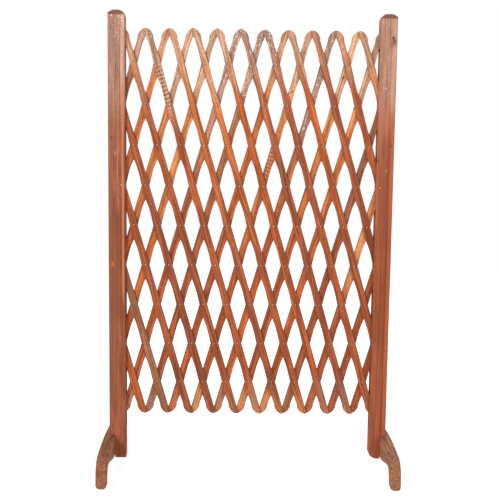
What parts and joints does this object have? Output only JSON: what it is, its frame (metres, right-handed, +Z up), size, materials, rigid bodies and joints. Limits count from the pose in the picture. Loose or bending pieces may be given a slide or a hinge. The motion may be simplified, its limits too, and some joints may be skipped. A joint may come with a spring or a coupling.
{
  "type": "expandable trellis",
  "caption": "Free-standing wooden trellis: riveted crossed slats that open and close like lazy tongs between two posts on curved feet.",
  "frame": {"origin": "on the ground, under the middle of the lattice and midway between the fronts and backs of the feet", "axes": "+Z up, +X to the right seen from the front, -Y towards the front"},
  "size_m": [0.768, 0.366, 1.2],
  "materials": {
    "post_wood": "stained, weathered lighter towards the top",
    "foot_wood": "stained, satin",
    "slat_wood_brown": "stained, satin",
    "slat_wood_orange": "stained, satin",
    "slat_wood_dark": "stained, satin",
    "slat_wood_light": "stained, satin",
    "steel": "bright zinc"
  },
  "bodies": {
    "left_post": {"left_post": "post_wood", "left_foot": "foot_wood", "left_pivot_pin": "steel", "left_foot_screw_lower": "steel", "left_foot_screw_upper": "steel"},
    "right_post": {"right_post": "post_wood", "right_foot": "foot_wood", "right_pivot_pin": "steel", "right_foot_screw_lower": "steel", "right_foot_screw_upper": "steel"},
    "front_slat_01": {"front_slat_01": "slat_wood_orange"},
    "front_slat_02": {"front_slat_02": "slat_wood_brown"},
    "front_slat_03": {"front_slat_03": "slat_wood_orange"},
    "front_slat_04": {"front_slat_04": "slat_wood_dark"},
    "front_slat_05": {"front_slat_05": "slat_wood_brown"},
    "front_slat_06": {"front_slat_06": "slat_wood_orange"},
    "front_slat_07": {"front_slat_07": "slat_wood_brown"},
    "front_slat_08": {"front_slat_08": "slat_wood_light"},
    "front_slat_09": {"front_slat_09": "slat_wood_orange"},
    "front_slat_10": {"front_slat_10": "slat_wood_brown"},
    "front_slat_11": {"front_slat_11": "slat_wood_dark"},
    "front_slat_12": {"front_slat_12": "slat_wood_orange"},
    "front_slat_13": {"front_slat_13": "slat_wood_brown"},
    "front_slat_14": {"front_slat_14": "slat_wood_brown"},
    "front_slat_15": {"front_slat_15": "slat_wood_orange"},
    "back_slat_01": {"back_slat_01": "slat_wood_light"},
    "back_slat_02": {"back_slat_02": "slat_wood_orange"},
    "back_slat_03": {"back_slat_03": "slat_wood_light"},
    "back_slat_04": {"back_slat_04": "slat_wood_light"},
    "back_slat_05": {"back_slat_05": "slat_wood_brown"},
    "back_slat_06": {"back_slat_06": "slat_wood_brown"},
    "back_slat_07": {"back_slat_07": "slat_wood_orange"},
    "back_slat_08": {"back_slat_08": "slat_wood_light"},
    "back_slat_09": {"back_slat_09": "slat_wood_brown"},
    "back_slat_10": {"back_slat_10": "slat_wood_light"},
    "back_slat_11": {"back_slat_11": "slat_wood_orange"},
    "back_slat_12": {"back_slat_12": "slat_wood_dark"},
    "back_slat_13": {"back_slat_13": "slat_wood_light"},
    "back_slat_14": {"back_slat_14": "slat_wood_brown"},
    "back_slat_15": {"back_slat_15": "slat_wood_orange"}
  },
  "joints": [
    {"name": "lattice_spread", "type": "hinge", "parent": "left_post", "child": "front_slat_03", "pos_m": [-0.33652, 0, 0.75549], "axis": [0, -1, 0], "range_deg": [-10.8, 28.7]},
    {"name": "back_slat_02_pivot", "type": "hinge", "parent": "front_slat_03", "child": "back_slat_02", "pos_m": [-0.33652, 0, 0.75549], "axis": [0, -1, 0], "range_deg": [-57.5, 21.7]},
    {"name": "back_slat_03_pivot", "type": "hinge", "parent": "front_slat_03", "child": "back_slat_03", "pos_m": [-0.30593, 0, 0.65087], "axis": [0, -1, 0], "range_deg": [-57.5, 21.7]},
    {"name": "back_slat_04_pivot", "type": "hinge", "parent": "front_slat_03", "child": "back_slat_04", "pos_m": [-0.27533, 0, 0.54625], "axis": [0, -1, 0], "range_deg": [-57.5, 21.7]},
    {"name": "back_slat_05_pivot", "type": "hinge", "parent": "front_slat_03", "child": "back_slat_05", "pos_m": [-0.24474, 0, 0.44163], "axis": [0, -1, 0], "range_deg": [-57.5, 21.7]},
    {"name": "back_slat_06_pivot", "type": "hinge", "parent": "front_slat_03", "child": "back_slat_06", "pos_m": [-0.21415, 0, 0.33702], "axis": [0, -1, 0], "range_deg": [-57.5, 21.7]},
    {"name": "back_slat_07_pivot", "type": "hinge", "parent": "front_slat_03", "child": "back_slat_07", "pos_m": [-0.18356, 0, 0.2324], "axis": [0, -1, 0], "range_deg": [-57.5, 21.7]},
    {"name": "front_slat_04_pivot", "type": "hinge", "parent": "back_slat_05", "child": "front_slat_04", "pos_m": [-0.21415, 0, 0.54625], "axis": [0, -1, 0], "range_deg": [-21.7, 57.5]},
    {"name": "front_slat_02_pivot", "type": "hinge", "parent": "back_slat_05", "child": "front_slat_02", "pos_m": [-0.27533, 0, 0.33702], "axis": [0, -1, 0], "range_deg": [-21.7, 57.5]},
    {"name": "front_slat_01_pivot", "type": "hinge", "parent": "back_slat_05", "child": "front_slat_01", "pos_m": [-0.30593, 0, 0.2324], "axis": [0, -1, 0], "range_deg": [-21.7, 57.5]},
    {"name": "front_slat_11_pivot", "type": "hinge", "parent": "back_slat_07", "child": "front_slat_11", "pos_m": [0.06119, 0, 1.06935], "axis": [0, -1, 0], "range_deg": [-21.7, 57.5]},
    {"name": "front_slat_10_pivot", "type": "hinge", "parent": "back_slat_07", "child": "front_slat_10", "pos_m": [0.03059, 0, 0.96473], "axis": [0, -1, 0], "range_deg": [-21.7, 57.5]},
    {"name": "front_slat_09_pivot", "type": "hinge", "parent": "back_slat_07", "child": "front_slat_09", "pos_m": [0, 0, 0.86011], "axis": [0, -1, 0], "range_deg": [-21.7, 57.5]},
    {"name": "front_slat_08_pivot", "type": "hinge", "parent": "back_slat_07", "child": "front_slat_08", "pos_m": [-0.03059, 0, 0.75549], "axis": [0, -1, 0], "range_deg": [-21.7, 57.5]},
    {"name": "front_slat_07_pivot", "type": "hinge", "parent": "back_slat_07", "child": "front_slat_07", "pos_m": [-0.06119, 0, 0.65087], "axis": [0, -1, 0], "range_deg": [-21.7, 57.5]},
    {"name": "front_slat_06_pivot", "type": "hinge", "parent": "back_slat_07", "child": "front_slat_06", "pos_m": [-0.09178, 0, 0.54625], "axis": [0, -1, 0], "range_deg": [-21.7, 57.5]},
    {"name": "front_slat_05_pivot", "type": "hinge", "parent": "back_slat_07", "child": "front_slat_05", "pos_m": [-0.12237, 0, 0.44163], "axis": [0, -1, 0], "range_deg": [-21.7, 57.5]},
    {"name": "back_slat_01_pivot", "type": "hinge", "parent": "front_slat_05", "child": "back_slat_01", "pos_m": [-0.30593, 0, 1.06935], "axis": [0, -1, 0], "range_deg": [-57.5, 21.7]},
    {"name": "back_slat_08_pivot", "type": "hinge", "parent": "front_slat_11", "child": "back_slat_08", "pos_m": [0.09178, 0, 0.96473], "axis": [0, -1, 0], "range_deg": [-57.5, 21.7]},
    {"name": "back_slat_09_pivot", "type": "hinge", "parent": "front_slat_11", "child": "back_slat_09", "pos_m": [0.12237, 0, 0.86011], "axis": [0, -1, 0], "range_deg": [-57.5, 21.7]},
    {"name": "back_slat_10_pivot", "type": "hinge", "parent": "front_slat_11", "child": "back_slat_10", "pos_m": [0.15296, 0, 0.75549], "axis": [0, -1, 0], "range_deg": [-57.5, 21.7]},
    {"name": "back_slat_11_pivot", "type": "hinge", "parent": "front_slat_11", "child": "back_slat_11", "pos_m": [0.18356, 0, 0.65087], "axis": [0, -1, 0], "range_deg": [-57.5, 21.7]},
    {"name": "back_slat_12_pivot", "type": "hinge", "parent": "front_slat_11", "child": "back_slat_12", "pos_m": [0.21415, 0, 0.54625], "axis": [0, -1, 0], "range_deg": [-57.5, 21.7]},
    {"name": "back_slat_13_pivot", "type": "hinge", "parent": "front_slat_11", "child": "back_slat_13", "pos_m": [0.24474, 0, 0.44163], "axis": [0, -1, 0], "range_deg": [-57.5, 21.7]},
    {"name": "back_slat_14_pivot", "type": "hinge", "parent": "front_slat_11", "child": "back_slat_14", "pos_m": [0.27533, 0, 0.33702], "axis": [0, -1, 0], "range_deg": [-57.5, 21.7]},
    {"name": "back_slat_15_pivot", "type": "hinge", "parent": "front_slat_11", "child": "back_slat_15", "pos_m": [0.30593, 0, 0.2324], "axis": [0, -1, 0], "range_deg": [-57.5, 21.7]},
    {"name": "front_slat_12_pivot", "type": "hinge", "parent": "back_slat_11", "child": "front_slat_12", "pos_m": [0.21415, 0, 0.75549], "axis": [0, -1, 0], "range_deg": [-21.7, 57.5]},
    {"name": "front_slat_13_pivot", "type": "hinge", "parent": "back_slat_11", "child": "front_slat_13", "pos_m": [0.24474, 0, 0.86011], "axis": [0, -1, 0], "range_deg": [-21.7, 57.5]},
    {"name": "front_slat_14_pivot", "type": "hinge", "parent": "back_slat_11", "child": "front_slat_14", "pos_m": [0.27533, 0, 0.96473], "axis": [0, -1, 0], "range_deg": [-21.7, 57.5]},
    {"name": "front_slat_15_pivot", "type": "hinge", "parent": "back_slat_11", "child": "front_slat_15", "pos_m": [0.30593, 0, 1.06935], "axis": [0, -1, 0], "range_deg": [-21.7, 57.5]},
    {"name": "right_post_pivot", "type": "hinge", "parent": "back_slat_13", "child": "right_post", "pos_m": [0.33652, 0, 0.75549], "axis": [0, -1, 0], "range_deg": [-10.9, 28.8]}
  ],
  "couplings": [
    {"joint": "back_slat_02_pivot", "follows": "lattice_spread", "ratio": -2},
    {"joint": "back_slat_03_pivot", "follows": "lattice_spread", "ratio": -2},
    {"joint": "back_slat_04_pivot", "follows": "lattice_spread", "ratio": -2},
    {"joint": "back_slat_05_pivot", "follows": "lattice_spread", "ratio": -2},
    {"joint": "back_slat_06_pivot", "follows": "lattice_spread", "ratio": -2},
    {"joint": "back_slat_07_pivot", "follows": "lattice_spread", "ratio": -2},
    {"joint": "front_slat_04_pivot", "follows": "lattice_spread", "ratio": 2},
    {"joint": "front_slat_02_pivot", "follows": "lattice_spread", "ratio": 2},
    {"joint": "front_slat_01_pivot", "follows": "lattice_spread", "ratio": 2},
    {"joint": "front_slat_11_pivot", "follows": "lattice_spread", "ratio": 2},
    {"joint": "front_slat_10_pivot", "follows": "lattice_spread", "ratio": 2},
    {"joint": "front_slat_09_pivot", "follows": "lattice_spread", "ratio": 2},
    {"joint": "front_slat_08_pivot", "follows": "lattice_spread", "ratio": 2},
    {"joint": "front_slat_07_pivot", "follows": "lattice_spread", "ratio": 2},
    {"joint": "front_slat_06_pivot", "follows": "lattice_spread", "ratio": 2},
    {"joint": "front_slat_05_pivot", "follows": "lattice_spread", "ratio": 2},
    {"joint": "back_slat_01_pivot", "follows": "lattice_spread", "ratio": -2},
    {"joint": "back_slat_08_pivot", "follows": "lattice_spread", "ratio": -2},
    {"joint": "back_slat_09_pivot", "follows": "lattice_spread", "ratio": -2},
    {"joint": "back_slat_10_pivot", "follows": "lattice_spread", "ratio": -2},
    {"joint": "back_slat_11_pivot", "follows": "lattice_spread", "ratio": -2},
    {"joint": "back_slat_12_pivot", "follows": "lattice_spread", "ratio": -2},
    {"joint": "back_slat_13_pivot", "follows": "lattice_spread", "ratio": -2},
    {"joint": "back_slat_14_pivot", "follows": "lattice_spread", "ratio": -2},
    {"joint": "back_slat_15_pivot", "follows": "lattice_spread", "ratio": -2},
    {"joint": "front_slat_12_pivot", "follows": "lattice_spread", "ratio": 2},
    {"joint": "front_slat_13_pivot", "follows": "lattice_spread", "ratio": 2},
    {"joint": "front_slat_14_pivot", "follows": "lattice_spread", "ratio": 2},
    {"joint": "front_slat_15_pivot", "follows": "lattice_spread", "ratio": 2},
    {"joint": "right_post_pivot", "follows": "lattice_spread", "ratio": 1}
  ]
}
